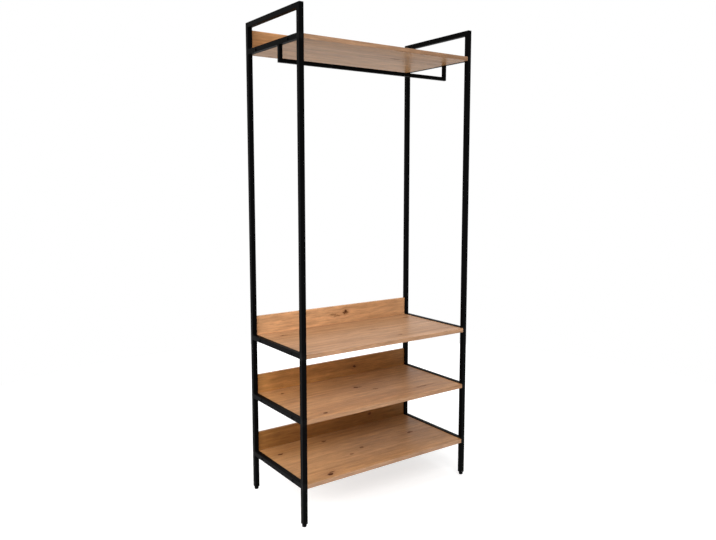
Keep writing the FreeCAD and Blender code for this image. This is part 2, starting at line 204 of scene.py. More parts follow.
bpy.context.scene.view_settings.view_transform = "Standard"
world = bpy.data.worlds.new("studio_glow")
bpy.context.scene.world = world
world.use_nodes = True
tree = world.node_tree
tree.nodes.clear()
towards = add(tree, "ShaderNodeSeparateXYZ")
feed(tree, towards.inputs[0], add(tree, "ShaderNodeTexCoord").outputs["Generated"])
room = spread(tree, towards.outputs["Y"], -GLOW_TURN, GLOW_TURN, GLOW_FRONT, GLOW_BACK)
seen = seen_or_mirrored(tree)
glow = add(tree, "ShaderNodeBackground")
feed(tree, glow.inputs["Color"], (1, 1, 1, 1))
feed(tree, glow.inputs["Strength"], spread(tree, seen, 0, 1, room, 1))
tree.links.new(glow.outputs[0], add(tree, "ShaderNodeOutputWorld").inputs["Surface"])
print("room with a glow of", GLOW_FRONT, "in front and", GLOW_BACK, "at the back")

# %% [markdown]
# The floor is a wide pale disc. Far away it looks as white as the room, and near the wardrobe it glows less,
# so that a faint shadow shows.
# It lies as deep as the feet reach when they are screwed right out, so no pad sinks into it.

# %% Lay the floor
FLOOR_RADIUS = 2.6
FLOOR_SIDES = 96
FLOOR_COLOUR = 0.55
FLOOR_MOTTLE = 0.01
FLOOR_WAVES = (1.5, 1.5, 1.5)
FLOOR_ROUGHNESS = 0.9
# Near the wardrobe the floor glows this much, and between the two radii it grows to full white
FLOOR_LIFT = 0.66
SHADOW_RADIUS = 0.7
WHITE_RADIUS = 2.0
FOOT_TRAVEL = 10 * MM

bpy.ops.object.select_all(action="DESELECT")
floor_middle = (0, 0, -FOOT_TRAVEL)
bpy.ops.mesh.primitive_circle_add(
    vertices=FLOOR_SIDES, radius=FLOOR_RADIUS, fill_type="NGON", location=floor_middle
)
bpy.ops.object.transform_apply(location=True)
floor = bpy.context.object
floor.name = "studio_floor"
paint, tree, shader, place = new_finish("pale_floor")
cloud = noise(tree, place, FLOOR_WAVES)
tone = drift(tree, cloud, FLOOR_COLOUR - FLOOR_MOTTLE, FLOOR_COLOUR + FLOOR_MOTTLE)
feed(tree, shader.inputs["Base Color"], tone)
feed(tree, shader.inputs["Roughness"], FLOOR_ROUGHNESS)
feed(tree, shader.inputs["Specular IOR Level"], 0.0)
feed(tree, shader.inputs["Emission Color"], (1, 1, 1, 1))
seen = seen_or_mirrored(tree)
away = vector_calc(tree, "LENGTH", place, output="Value")
lift = spread(tree, away, SHADOW_RADIUS, WHITE_RADIUS, FLOOR_LIFT, 1.0)
feed(tree, shader.inputs["Emission Strength"], calc(tree, "MULTIPLY", seen, lift))
wear(paint, floor)
print("floor", 2 * FLOOR_RADIUS, "m wide,", round(FOOT_TRAVEL / MM, 1), "mm below the feet")

# %% [markdown]
# Three soft lamps stand in front, overhead and at the left.
# The front lamp stands about as high as it stands away, so board tops and upstands get about the same light.
# A grid narrows its beam to the lower shelves, which keeps the hat shelf's edge from growing too bright.
# The left lamp stands near and low, so its light reaches in under the shelves and fades along them.
# Gloss shows the room and not the lamps, so no shelf top flashes white from a low view.

# %% Set the lamps
# place, width in metres, power in watts, opening of the beam in degrees, height that it is aimed at
SOFT_LAMPS = {
    "front_softbox": ((-1.0, -2.7, 2.8), 1.6, 16, 80, 0.2),
    "overhead_softbox": ((0.0, -0.3, 4.4), 2.4, 58, 180, 0.85),
    "left_softbox": ((-1.6, -0.2, 1.0), 1.0, 11, 110, 0.3),
}

for name, (spot, width, power, opening, aim) in SOFT_LAMPS.items():
    lamp_data = bpy.data.lights.new(name, "AREA")
    lamp_data.size = width
    lamp_data.energy = power
    lamp_data.spread = math.radians(opening)
    lamp = bpy.data.objects.new(name, lamp_data)
    bpy.context.scene.collection.objects.link(lamp)
    lamp.location = spot
    lamp.visible_glossy = False
    lamp.rotation_euler = (Vector((0, 0, aim)) - lamp.location).to_track_quat("-Z", "Y").to_euler()
print("studio with", len(SOFT_LAMPS), "soft lamps")

# %% [markdown]
# The boards are chipboard under an oak print: warm tan with long streaks, fine pores and a few dark knots.
# A knot is where a branch left the trunk. Here it is an oval with a ragged outline and a warm halo.
# Round it the grain is squeezed aside before the noises are read, so the lines flow past it.
# Painting that into an image would fix its resolution, and a sum of distances stays sharp at any size.

# %% Describe the knots
# A knot's ragged outline, the fall of its halo, its soft rim, and its pull on the grain and the colour
RAGGED_WAVES = (70, 180, 180)
KNOT_RAGGED = 8 * MM
KNOT_HALO = 0.22
KNOT_EDGE = (0.6, 1.3)
KNOT_SQUEEZE = 0.75
KNOT_WARMTH = 0.45


def knot_marks(tree, place, plane, side, marks):
    """How much the knots squeeze the grain aside, warm it and darken it at each place."""
    ragged = noise(tree, place, RAGGED_WAVES, detail=2)
    ragged = calc(tree, "MULTIPLY_ADD", ragged, 2 * KNOT_RAGGED, -KNOT_RAGGED)
    uneven = vector_calc(tree, "ADD", plane, ragged)
    squeeze = 0.0
    warmth = 0.0
    darkness = 0.0
    for x, y, half_length, half_width, depth in marks:
        offset = vector_calc(tree, "SUBTRACT", uneven, (x * MM, y * MM, 0))
        shape = (1 / (half_length * MM), 1 / (half_width * MM), 0)
        oval = vector_calc(tree, "MULTIPLY", offset, shape)
        far = vector_calc(tree, "DOT_PRODUCT", oval, oval, output="Value")
        near = calc(tree, "EXPONENT", calc(tree, "MULTIPLY", far, -KNOT_HALO))
        core = spread(tree, far, *KNOT_EDGE, 1, 0)
        sideways = calc(tree, "SUBTRACT", side, y * MM)
        pushed = calc(tree, "MULTIPLY", near, calc(tree, "MULTIPLY", sideways, KNOT_SQUEEZE))
        squeeze = calc(tree, "ADD", pushed, squeeze)
        warmth = calc(tree, "MULTIPLY_ADD", near, KNOT_WARMTH * depth, warmth)
        darkness = calc(tree, "MULTIPLY_ADD", core, depth, darkness)
    return squeeze, warmth, darkness


print("knots with an outline ragged by up to", round(KNOT_RAGGED / MM, 1), "mm")

# %% [markdown]
# Under the knots lies the grain. A noise that is stretched far along X gives streaks.
# Six noises of different size give its layers, from broad bands to fine pores, and a sine adds growth rings.
# Each piece gets a print of its own, because its knots differ, and so do its brightness and tint, which hold
# painted light and shade as well as a little real difference between sheets.

# %% Make the oak print
OAK_LIGHT = (0.583, 0.300, 0.152, 1)
OAK_DEEP = (0.461, 0.222, 0.103, 1)
OAK_WARM = (0.300, 0.125, 0.050, 1)
OAK_PORE = (0.240, 0.105, 0.045, 1)
OAK_KNOT = (0.062, 0.018, 0.005, 1)
# Waves per metre along, across and into the board, for each layer of the grain
BROAD_WAVES = (0.9, 10, 10)
STREAK_WAVES = (2.2, 75, 75)
FLAME_WAVES = (13, 75, 75)
FIBRE_WAVES = (10, 450, 450)
PORE_WAVES = (40, 1400, 1400)
FLECK_WAVES = (14, 260, 260)
# Radians per metre across the board, and how far the broad bands bend the rings
RING_WAVES = 200
RING_WANDER = 22
# From which value to which a layer goes over from none to all
BROAD_EDGE = (0.36, 0.62)
PORE_EDGE = (0.60, 0.72)
FLECK_EDGE = (0.64, 0.76)
# How dark and how light each layer makes the print
STREAK_SHADES = (0.88, 1.12)
RING_SHADES = (0.95, 1.03)
FLAME_SHADES = (0.81, 1.19)
FIBRE_SHADES = (0.84, 1.10)
PORE_DEPTH = 0.45
FLECK_DEPTH = 0.75
# Surface of the print
PRINT_ROUGHNESS = (0.43, 0.33)
KNOT_ROUGHNESS = 0.3
PRINT_SPECULAR = 0.13
PRINT_BUMP = 0.25
PRINT_RELIEF = 0.15 * MM
FIBRE_RELIEF = 0.4


def oak_print(name, across, start, marks, brightness, tint):
    material, tree, shader, place = new_finish(name)
    parts = add(tree, "ShaderNodeSeparateXYZ")
    feed(tree, parts.inputs[0], place)
    along = parts.outputs["X"]
    side = parts.outputs[across]
    deep = parts.outputs["Z" if across == "Y" else "Y"]
    flat = add(tree, "ShaderNodeCombineXYZ")
    feed(tree, flat.inputs[0], along)
    feed(tree, flat.inputs[1], side)
    squeeze, warmth, darkness = knot_marks(tree, place, flat.outputs[0], side, marks)
    grain = add(tree, "ShaderNodeCombineXYZ")
    feed(tree, grain.inputs[0], calc(tree, "ADD", along, start[0]))
    feed(tree, grain.inputs[1], calc(tree, "SUBTRACT", calc(tree, "ADD", side, start[1]), squeeze))
    feed(tree, grain.inputs[2], calc(tree, "ADD", deep, start[2]))
    grain = grain.outputs[0]
    broad = noise(tree, grain, BROAD_WAVES, detail=3, distortion=0.5)
    streak = noise(tree, grain, STREAK_WAVES, detail=5, roughness=0.6)
    flame = noise(tree, grain, FLAME_WAVES, detail=3, roughness=0.65)
    fibre = noise(tree, grain, FIBRE_WAVES, detail=3)
    pore = noise(tree, grain, PORE_WAVES, detail=1)
    pore = spread(tree, pore, *PORE_EDGE, 0, 1)
    fleck = noise(tree, grain, FLECK_WAVES, detail=2, roughness=0.4)
    fleck = spread(tree, fleck, *FLECK_EDGE, 0, FLECK_DEPTH)
    ring = calc(tree, "MULTIPLY_ADD", broad, RING_WANDER, calc(tree, "MULTIPLY", side, RING_WAVES))
    ring = calc(tree, "SINE", ring)
    # The piece's brightness and tint also carry its painted light and shade
    shade = drift(tree, streak, *(brightness * limit for limit in STREAK_SHADES))
    shade = calc(tree, "MULTIPLY", shade, spread(tree, ring, -1, 1, *RING_SHADES))
    shade = calc(tree, "MULTIPLY", shade, drift(tree, flame, *FLAME_SHADES))
    shade = calc(tree, "MULTIPLY", shade, drift(tree, fibre, *FIBRE_SHADES))
    colour = blend(tree, spread(tree, broad, *BROAD_EDGE, 0, 1), OAK_DEEP, OAK_LIGHT)
    colour = vector_calc(tree, "MULTIPLY", scaled(tree, colour, shade), tint)
    dots = calc(tree, "MAXIMUM", calc(tree, "MULTIPLY", pore, PORE_DEPTH), fleck)
    colour = blend(tree, dots, colour, OAK_PORE)
    colour = blend(tree, warmth, colour, OAK_WARM)
    colour = blend(tree, darkness, colour, OAK_KNOT)
    feed(tree, shader.inputs["Base Color"], colour)
    rough = drift(tree, streak, *PRINT_ROUGHNESS)
    feed(tree, shader.inputs["Roughness"], calc(tree, "MULTIPLY_ADD", darkness, KNOT_ROUGHNESS, rough))
    feed(tree, shader.inputs["Specular IOR Level"], PRINT_SPECULAR)
    height = calc(tree, "SUBTRACT", calc(tree, "MULTIPLY", fibre, FIBRE_RELIEF), pore)
    feed(tree, shader.inputs["Normal"], bump(tree, height, PRINT_BUMP, PRINT_RELIEF))
    return material


print("oak print of", BROAD_WAVES[1], "to", PORE_WAVES[1], "waves per metre across the board")

# %% [markdown]
# The larger knots go about where the photograph shows them. The front bands have none.
# A knot is its place along and across the board, its half length and half width in millimetres, and how dark
# it is. Across is Y on a board and Z on an upstand.
# Two or three ovals side by side make a knot of a less regular shape.

# %% Print the boards
SHELVES = ("hat", "upper", "middle", "lower")
SHELF_MARKS = {
    "hat": ((-303, 186, 10, 6, 0.9), (120, -60, 24, 7, 0.5)),
    "upper": (
        (-293, 119, 20, 5, 0.9),
        (338, 122, 18, 5, 0.8),
        (95, -136, 13, 4, 0.6),
        (65, 4, 34, 4, 0.4),
    ),
    "middle": (
        (-10, 26, 9, 9, 0.9),
        (6, 20, 14, 4, 0.6),
        (46, -38, 13, 6, 0.7),
        (-283, -167, 10, 6, 0.9),
        (-300, 126, 7, 5, 1.0),
        (223, -122, 34, 4, 0.5),
    ),
    "lower": (
        (-264, -171, 12, 8, 1.0),
        (-247, -158, 13, 5, 0.8),
        (-111, 117, 12, 7, 0.8),
        (-327, 102, 11, 6, 1.0),
        (258, -8, 16, 6, 0.9),
        (-17, -28, 11, 6, 0.6),
        (-89, -60, 9, 7, 0.6),
    ),
}
UPSTAND_MARKS = {
    "hat": (),
    "upper": (
        (51, 690, 6, 7, 0.9),
        (44, 683, 9, 5, 0.8),
        (58, 682, 7, 4, 0.6),
        (-14, 680, 15, 4, 0.45),
        (8, 673, 15, 4, 0.35),
    ),
    "middle": ((97, 434, 9, 5, 0.9),),
    "lower": ((180, 200, 10, 5, 0.6),),
}
# Brightness and tint of each board, upstand and front band: a little real difference between sheets, and
# painted light and shade, lighter on the upper upstand, darker and warmer on the middle and lower pieces,
# greyer as a painted sheen on the front bands
PRINT_TONES_WITH_PAINTED_LIGHT = {
    "hat": ((0.91, (1, 1.04, 0.90)), (0.91, (1, 1.04, 0.92)), (0.77, (1, 1.12, 1.28))),
    "upper": ((0.86, (1, 1.07, 1.10)), (1.21, (1, 1.09, 1.10)), (0.97, (1, 1.12, 1.28))),
    "middle": ((0.87, (1, 0.98, 0.79)), (0.98, (1, 0.95, 0.62)), (0.90, (1, 1.10, 1.22))),
    "lower": ((0.77, (1, 0.98, 0.75)), (0.72, (1, 0.93, 0.56)), (0.82, (1, 1.12, 1.30))),
}
# Each piece is cut from its own place in the endless print, in metres along, across and into it
CUT_STEP_ALONG = 3.1
CUT_STEP_ACROSS = 0.7
BOARD_LAYER = 0.3
UPSTAND_CUT = (1.4, 0.2, 5.0)
BAND_CUT = (2.2, 0.5, 9.0)
for number, shelf in enumerate(SHELVES):
    start = CUT_STEP_ALONG * number
    board_cut = (start, CUT_STEP_ACROSS * number, BOARD_LAYER)
    upstand_cut = (start + UPSTAND_CUT[0], *UPSTAND_CUT[1:])
    band_cut = (start + BAND_CUT[0], *BAND_CUT[1:])
    board_look, upstand_look, band_look = PRINT_TONES_WITH_PAINTED_LIGHT[shelf]
    board = oak_print(shelf + "_shelf_oak", "Y", board_cut, SHELF_MARKS[shelf], *board_look)
    upstand = oak_print(shelf + "_upstand_oak", "Z", upstand_cut, UPSTAND_MARKS[shelf], *upstand_look)
    band = oak_print(shelf + "_front_band_oak", "Z", band_cut, (), *band_look)
    wear(board, nodes[shelf + "_shelf"])
    wear(upstand, nodes[shelf + "_shelf_upstand"])
    wear(band, nodes[shelf + "_shelf_front_edge_band"])
print("oak on", 3 * len(SHELVES), "pieces")

# %% [markdown]
# The tubes wear a matte black powder coat: a baked skin with a very fine, even sandy grain.
# Powder never lies quite even, so the sheen drifts a little from place to place.
# Two noises, one a fraction of a millimetre wide and one a few millimetres wide, raise the skin.
# Where the rails meet the uprights the welds were ground flat, and the coat lies smoother there. It is also
# painted paler there, a painted sheen on the joints.

# %% Make the powder coat
BLACK = (0.0016, 0.0016, 0.0017)
# Shares of that black in the drifts of the coat, and in the painted sheen where it was ground
DARK_SHARE = 0.75
PALE_SHARE = 1.30
SHEEN_PAINT_SHARE = 4
# Waves per metre of the grain, the wider ripple, the drift and the patches of grinding
SAND_WAVES = (1600, 1600, 1600)
RIPPLE_WAVES = (260, 260, 260)
CLOUD_WAVES = (7, 7, 7)
PATCH_WAVES = (90, 90, 90)
# The ground patch, smoother and with its painted sheen, is full up to the first distance from a rail's middle
# and ends at the second
GROUND_AND_SHEEN_REACH = (7 * MM, 16 * MM)
PATCH_EDGE = (0.35, 0.65)
PATCH_LEAST = 0.15
TUBE_ROUGHNESS = 0.48
BOLT_ROUGHNESS = 0.36
ROUGHNESS_DRIFT = 0.05
GROUND_SMOOTHER = 0.10
COAT_SPECULAR = 0.022
COAT_BUMP = 0.30
COAT_RELIEF = 0.12 * MM
RIPPLE_RELIEF = 0.8


def powder_coat(name, roughness, joints=()):
    material, tree, shader, place = new_finish(name)
    sand = noise(tree, place, SAND_WAVES, detail=2)
    ripple = noise(tree, place, RIPPLE_WAVES, detail=2)
    cloud = noise(tree, place, CLOUD_WAVES, detail=3)
    dark = tuple(part * DARK_SHARE for part in BLACK) + (1,)
    pale = tuple(part * PALE_SHARE for part in BLACK) + (1,)
    painted_sheen_black = tuple(part * SHEEN_PAINT_SHARE for part in BLACK) + (1,)
    parts = add(tree, "ShaderNodeSeparateXYZ")
    feed(tree, parts.inputs[0], place)
    ground_and_sheen = 0.0
    for level in joints:
        away = calc(tree, "ABSOLUTE", calc(tree, "SUBTRACT", parts.outputs["Z"], level))
        ground_and_sheen = calc(tree, "ADD", spread(tree, away, *GROUND_AND_SHEEN_REACH, 1, 0), ground_and_sheen)
    patch = noise(tree, place, PATCH_WAVES, detail=3)
    ground_and_sheen = calc(tree, "MULTIPLY", ground_and_sheen, spread(tree, patch, *PATCH_EDGE, PATCH_LEAST, 1))
    colour = blend(tree, drift(tree, cloud, 0, 1), dark, pale)
    # The paler colour at the rail joints is a painted sheen
    feed(tree, shader.inputs["Base Color"], blend(tree, ground_and_sheen, colour, painted_sheen_black))
    rough = drift(tree, cloud, roughness - ROUGHNESS_DRIFT, roughness + ROUGHNESS_DRIFT)
    feed(tree, shader.inputs["Roughness"], calc(tree, "MULTIPLY_ADD", ground_and_sheen, -GROUND_SMOOTHER, rough))
    feed(tree, shader.inputs["Specular IOR Level"], COAT_SPECULAR)
    height = calc(tree, "MULTIPLY_ADD", ripple, RIPPLE_RELIEF, sand)
    feed(tree, shader.inputs["Normal"], bump(tree, height, COAT_BUMP, COAT_RELIEF))
    return material


coat = powder_coat("black_powder_coat", TUBE_ROUGHNESS)
tubes = pieces_named("_rail", "_drop", "clothes_bar")
wear(coat, *tubes)
joint_levels = []
for shelf in SHELVES:
    low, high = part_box("left_" + shelf + "_rail")
    joint_levels.append((low[2] + high[2]) / 2)
uprights = pieces_named("_upright")
wear(powder_coat("black_powder_coat_dressed_with_painted_sheen", TUBE_ROUGHNESS, joint_levels), *uprights)
oxide = powder_coat("black_bolt_oxide", BOLT_ROUGHNESS)
bolts = pieces_named("_bolts")
wear(oxide, *bolts)
print("powder coat on", len(tubes) + len(uprights), "tubes and", len(bolts), "sets of bolts")

# %% [markdown]
# Screws, nuts and studs are bright zinc, and the plugs and foot pads are black moulded plastic.
# Zinc plate is metal with a soft, slightly blotchy shine.
# Moulded plastic has a faint leathery grain from the tool.

# %% Make the zinc and the plastic
ZINC_DULL = (0.48, 0.49, 0.51, 1)
ZINC_BRIGHT = (0.66, 0.67, 0.70, 1)
ZINC_WAVES = (900, 900, 900)
ZINC_ROUGHNESS = (0.28, 0.42)
ZINC_BUMP = 0.1
ZINC_RELIEF = 0.05 * MM
PLASTIC_DARK = (0.0012, 0.0012, 0.0013, 1)
PLASTIC_PALE = (0.0030, 0.0030, 0.0031, 1)
PLASTIC_WAVES = (700, 700, 700)
PLASTIC_ROUGHNESS = (0.42, 0.55)
PLASTIC_SPECULAR = 0.03
PLASTIC_BUMP = 0.2
PLASTIC_RELIEF = 0.1 * MM

zinc, tree, shader, place = new_finish("zinc_plate")
blotch = noise(tree, place, ZINC_WAVES, detail=3)
feed(tree, shader.inputs["Base Color"], blend(tree, blotch, ZINC_DULL, ZINC_BRIGHT))
feed(tree, shader.inputs["Metallic"], 1.0)
feed(tree, shader.inputs["Roughness"], drift(tree, blotch, *ZINC_ROUGHNESS))
feed(tree, shader.inputs["Normal"], bump(tree, blotch, ZINC_BUMP, ZINC_RELIEF))

plastic, tree, shader, place = new_finish("moulded_plastic")
leather = noise(tree, place, PLASTIC_WAVES, detail=2)
feed(tree, shader.inputs["Base Color"], blend(tree, leather, PLASTIC_DARK, PLASTIC_PALE))
feed(tree, shader.inputs["Roughness"], drift(tree, leather, *PLASTIC_ROUGHNESS))
feed(tree, shader.inputs["Specular IOR Level"], PLASTIC_SPECULAR)
feed(tree, shader.inputs["Normal"], bump(tree, leather, PLASTIC_BUMP, PLASTIC_RELIEF))

metal_pieces = pieces_named("_screws", "_insert_nuts", "_nut_blocks", "_stud")
plastic_pieces = pieces_named("_plug", "_pad")
wear(zinc, *metal_pieces)
wear(plastic, *plastic_pieces)
print("zinc on", len(metal_pieces), "pieces, plastic on", len(plastic_pieces))

# %% [markdown]
# The small hardware is modelled here, each kind once, as it would be turned or cut from one blank.
# These helpers start a clean blank, choose faces or edges by where they lie, and set copies in place.
# Every copy gets a mesh of its own, and its turn and place are baked in, so all pieces share one origin.

# %% Helpers for modelling
# Places closer than this are taken as level, corners closer than the next are merged
LEVEL_WITHIN = 0.01 * MM
MERGE_WITHIN = 0.002 * MM


def choose_faces(piece, test):
    """Go into edit mode with only those faces chosen whose middle and normal pass the test."""
    bpy.ops.object.mode_set(mode="EDIT")
    bpy.ops.mesh.select_mode(type="FACE")
    bpy.ops.mesh.select_all(action="DESELECT")
    bpy.ops.object.mode_set(mode="OBJECT")
    for face in piece.data.polygons:
        face.select = test(face.center, face.normal)
    bpy.ops.object.mode_set(mode="EDIT")


def choose_edges(piece, test):
    """Go into edit mode with only those edges chosen whose two ends pass the test."""
    bpy.ops.object.mode_set(mode="EDIT")
    bpy.ops.mesh.select_mode(type="EDGE")
    bpy.ops.mesh.select_all(action="DESELECT")
    bpy.ops.object.mode_set(mode="OBJECT")
    corners = piece.data.vertices
    for edge in piece.data.edges:
        edge.select = all(test(corners[number].co) for number in edge.vertices)
    bpy.ops.object.mode_set(mode="EDIT")


def turned_disc(radius, low, high, sides):
    """A disc about the Z axis between two heights, the blank for turned pieces."""
    bpy.ops.object.select_all(action="DESELECT")
    middle = (0, 0, (low + high) / 2)
    bpy.ops.mesh.primitive_cylinder_add(vertices=sides, radius=radius, depth=high - low, location=middle)
    bpy.ops.object.transform_apply(location=True)
    return bpy.context.object


def draw_out(rise, narrowing=1.0):
    """Extrude the chosen faces along Z and narrow them about their middle."""
    bpy.ops.mesh.extrude_region_move(TRANSFORM_OT_translate={"value": (0, 0, rise)})
    bpy.ops.transform.resize(value=(narrowing, narrowing, 1))


def sink_outline(piece, level, reach, depth, narrowing):
    """Push the closed outline at a level and within a reach of the axis down into a flat-bottomed recess."""
    choose_edges(piece, lambda spot: abs(spot.z - level) < LEVEL_WITHIN and spot.to_2d().length < reach)
    bpy.ops.mesh.extrude_edges_move(TRANSFORM_OT_translate={"value": (0, 0, -depth)})
    bpy.ops.transform.resize(value=(narrowing, narrowing, 1))
    bpy.ops.mesh.edge_face_add()


def finish_blank(piece, crease):
    """Make the normals point outwards and shade smooth up to the crease angle."""
    bpy.ops.object.mode_set(mode="EDIT")
    bpy.ops.mesh.select_all(action="SELECT")
    bpy.ops.mesh.remove_doubles(threshold=MERGE_WITHIN)
    bpy.ops.mesh.normals_make_consistent(inside=False)
    bpy.ops.object.mode_set(mode="OBJECT")
    bpy.ops.object.shade_smooth_by_angle(angle=math.radians(crease))


def set_copies(blank, name, places, finish):
    """Copy a blank to each place and turn, bake them and join them into one named piece."""
    copies = []
    for spot, turn in places:
        bpy.ops.object.select_all(action="DESELECT")
        blank.select_set(True)
        bpy.context.view_layer.objects.active = blank
        bpy.ops.object.duplicate(linked=False)
        copy = bpy.context.object
        copy.location = spot
        copy.rotation_euler = turn
        bpy.ops.object.transform_apply(location=True, rotation=True, scale=True)
        copies.append(copy)
    bpy.ops.object.select_all(action="DESELECT")
    for copy in copies:
        copy.select_set(True)
    bpy.context.view_layer.objects.active = copies[0]
    if len(copies) > 1:
        bpy.ops.object.join()
    piece = bpy.context.object
    piece.name = name
    piece.data.name = name
    wear(finish, piece)
    return piece


def put_away(blank):
    bpy.ops.object.select_all(action="DESELECT")
    blank.select_set(True)
    bpy.ops.object.delete()


print("helpers for modelling, level within", round(LEVEL_WITHIN / MM, 3), "mm")

# %% [markdown]
# The shelf bolts have low domed heads with a hexagon socket, blackened like the frame.
# A short disc becomes the dome by drawing its top face out in rings that rise less and narrow more each time.
# The socket is a hexagon bridged to the dome's last ring and pushed down.
# The shank is drawn out of the underside.

# %% Model the domed bolt
# A face whose normal rises more than this looks up
LOOKS_UP = 0.9
# Sides of a turned piece, and the angle in degrees above which its edges stay sharp
TURNED_SIDES = 32
TURNED_CREASE = 32
BOLT_HEAD_RADIUS = 5.5 * MM
BOLT_RIM = 0.7 * MM
BOLT_DOME = ((0.75 * MM, 0.945), (0.60 * MM, 0.86), (0.35 * MM, 0.80))
SOCKET_RADIUS = 2.3 * MM
SOCKET_DEPTH = 1.5 * MM
# Just beyond the socket's corners
SOCKET_REACH = 1.05 * SOCKET_RADIUS
SHANK_RADIUS = 3.0 * MM
SHANK_LENGTH = 30 * MM
SHANK_TIP = 1.2 * MM
SHANK_TIP_NARROWING = 0.7

bolt = turned_disc(BOLT_HEAD_RADIUS, 0, BOLT_RIM, TURNED_SIDES)
choose_faces(bolt, lambda middle, normal: normal.z > LOOKS_UP)
for rise, narrowing in BOLT_DOME:
    draw_out(rise, narrowing)
bpy.ops.mesh.delete(type="ONLY_FACE")
bolt_top = BOLT_RIM + sum(rise for rise, narrowing in BOLT_DOME)
bpy.ops.mesh.primitive_circle_add(vertices=6, radius=SOCKET_RADIUS, location=(0, 0, bolt_top))
choose_edges(bolt, lambda spot: abs(spot.z - bolt_top) < LEVEL_WITHIN)
bpy.ops.mesh.bridge_edge_loops()
sink_outline(bolt, bolt_top, SOCKET_REACH, SOCKET_DEPTH, 1.0)
choose_faces(bolt, lambda middle, normal: normal.z < -LOOKS_UP and middle.z < LEVEL_WITHIN)
bpy.ops.mesh.inset(thickness=BOLT_HEAD_RADIUS - SHANK_RADIUS)
draw_out(-SHANK_LENGTH + SHANK_TIP)
draw_out(-SHANK_TIP, SHANK_TIP_NARROWING)
finish_blank(bolt, TURNED_CREASE)
print("domed bolt with a head", round(bolt_top / MM, 2), "mm high")

# %% [markdown]
# Four bolts hold each board, two through each side rail, and two more hold the clothes bar from above.
# The plain bolts of the CAD model give their places, and the domed ones take over from them.

# %% Set the bolts
BOLT_SPOTS = [(side, end) for side in (-1, 1) for end in (-1, 1)]
bolt_sets = []
for shelf in SHELVES:
    low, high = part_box(shelf + "_shelf_bolts")
    face = high[0] - bolt_top
    reach = high[1] - BOLT_HEAD_RADIUS
    level = (low[2] + high[2]) / 2
    places = [((side * face, end * reach, level), (0, side * math.pi / 2, 0)) for side, end in BOLT_SPOTS]
    piece = set_copies(bolt, shelf + "_shelf_domed_bolts", places, oxide)
    bolt_sets.append((piece, shelf + "_shelf_bolts"))
low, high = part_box("clothes_bar_bolts")
reach = high[0] - BOLT_HEAD_RADIUS
middle_y = (low[1] + high[1]) / 2
places = [((side * reach, middle_y, high[2] - bolt_top), (0, 0, 0)) for side in (-1, 1)]
bolt_sets.append((set_copies(bolt, "clothes_bar_domed_bolts", places, oxide), "clothes_bar_bolts"))
for piece, node in bolt_sets:
    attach(piece, "body")
    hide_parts(node)
put_away(bolt)
print("domed bolts in", len(bolt_sets), "sets")

# %% [markdown]
# The upstands are held by flat-headed zinc screws from behind, with a cross recess, four to a shelf.
# The recess starts as a small square whose four sides are drawn out into arms, joined to one outline.
# That outline is bridged to the rim, pushed down and narrowed, as a punch would leave it.

# %% Model the upstand screw
SCREW_HEAD_RADIUS = 4.15 * MM
SCREW_RIM = 0.5 * MM
SCREW_CONE = 1.6 * MM
SCREW_RADIUS = 1.9 * MM
SCREW_POINT = 3 * MM
SCREW_POINT_NARROWING = 0.12
SCREW_RIM_BEVEL = 0.15 * MM
CROSS_WIDTH = 0.95 * MM
CROSS_ARM = 1.25 * MM
CROSS_DEPTH = 1.4 * MM
CROSS_NARROWING = 0.5

low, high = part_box("hat_shelf_upstand_screws")
screw_length = high[1] - low[1]
screw = turned_disc(SCREW_HEAD_RADIUS, -SCREW_RIM, 0, TURNED_SIDES)
choose_faces(screw, lambda middle, normal: normal.z < -LOOKS_UP)
draw_out(-SCREW_CONE, SCREW_RADIUS / SCREW_HEAD_RADIUS)
draw_out(-(screw_length - SCREW_RIM - SCREW_CONE - SCREW_POINT))
draw_out(-SCREW_POINT, SCREW_POINT_NARROWING)
choose_faces(screw, lambda middle, normal: normal.z > LOOKS_UP)
bpy.ops.mesh.bevel(offset=SCREW_RIM_BEVEL, segments=2, affect="EDGES")
choose_faces(screw, lambda middle, normal: normal.z > LOOKS_UP and abs(middle.z) < LEVEL_WITHIN)
bpy.ops.mesh.delete(type="ONLY_FACE")
bpy.ops.mesh.primitive_plane_add(size=CROSS_WIDTH, location=(0, 0, 0))
# The square's sides lie half its width away from its middle, just beyond this
just_inside = 0.45 * CROSS_WIDTH
for across, along in ((1, 0), (-1, 0), (0, 1), (0, -1)):
    choose_edges(screw, lambda spot: abs(spot.z) < LEVEL_WITHIN and spot.to_2d().length < CROSS_WIDTH
                 and across * spot.x + along * spot.y > just_inside)
    arm = (across * CROSS_ARM, along * CROSS_ARM, 0)
    bpy.ops.mesh.extrude_edges_move(TRANSFORM_OT_translate={"value": arm})
cross_reach = CROSS_ARM + CROSS_WIDTH
choose_faces(screw, lambda middle, normal: abs(middle.z) < LEVEL_WITHIN
             and middle.to_2d().length < cross_reach)
bpy.ops.mesh.dissolve_faces()
bpy.ops.mesh.delete(type="ONLY_FACE")
choose_edges(screw, lambda spot: abs(spot.z) < LEVEL_WITHIN)
bpy.ops.mesh.bridge_edge_loops()
sink_outline(screw, 0, cross_reach, CROSS_DEPTH, CROSS_NARROWING)
finish_blank(screw, TURNED_CREASE)
print("cross-recess screw", round(screw_length / MM, 1), "mm long")

# %% [markdown]
# Four screws stand in a row behind each upstand, from one end of the CAD model's row to the other.
# A screw stops where it is tight, so each has a turn of its own, and its head stands a hair proud.

# %% Set the screws
SCREWS_PER_SHELF = 4
SCREW_PROUD = 0.12 * MM
# The plain screws of the CAD model have heads of this radius
PLAIN_HEAD_RADIUS = 4 * MM
# Turn of the first screw in a row and the step to the next, in radians
FIRST_TURN = 0.4
TURN_STEP = 0.9

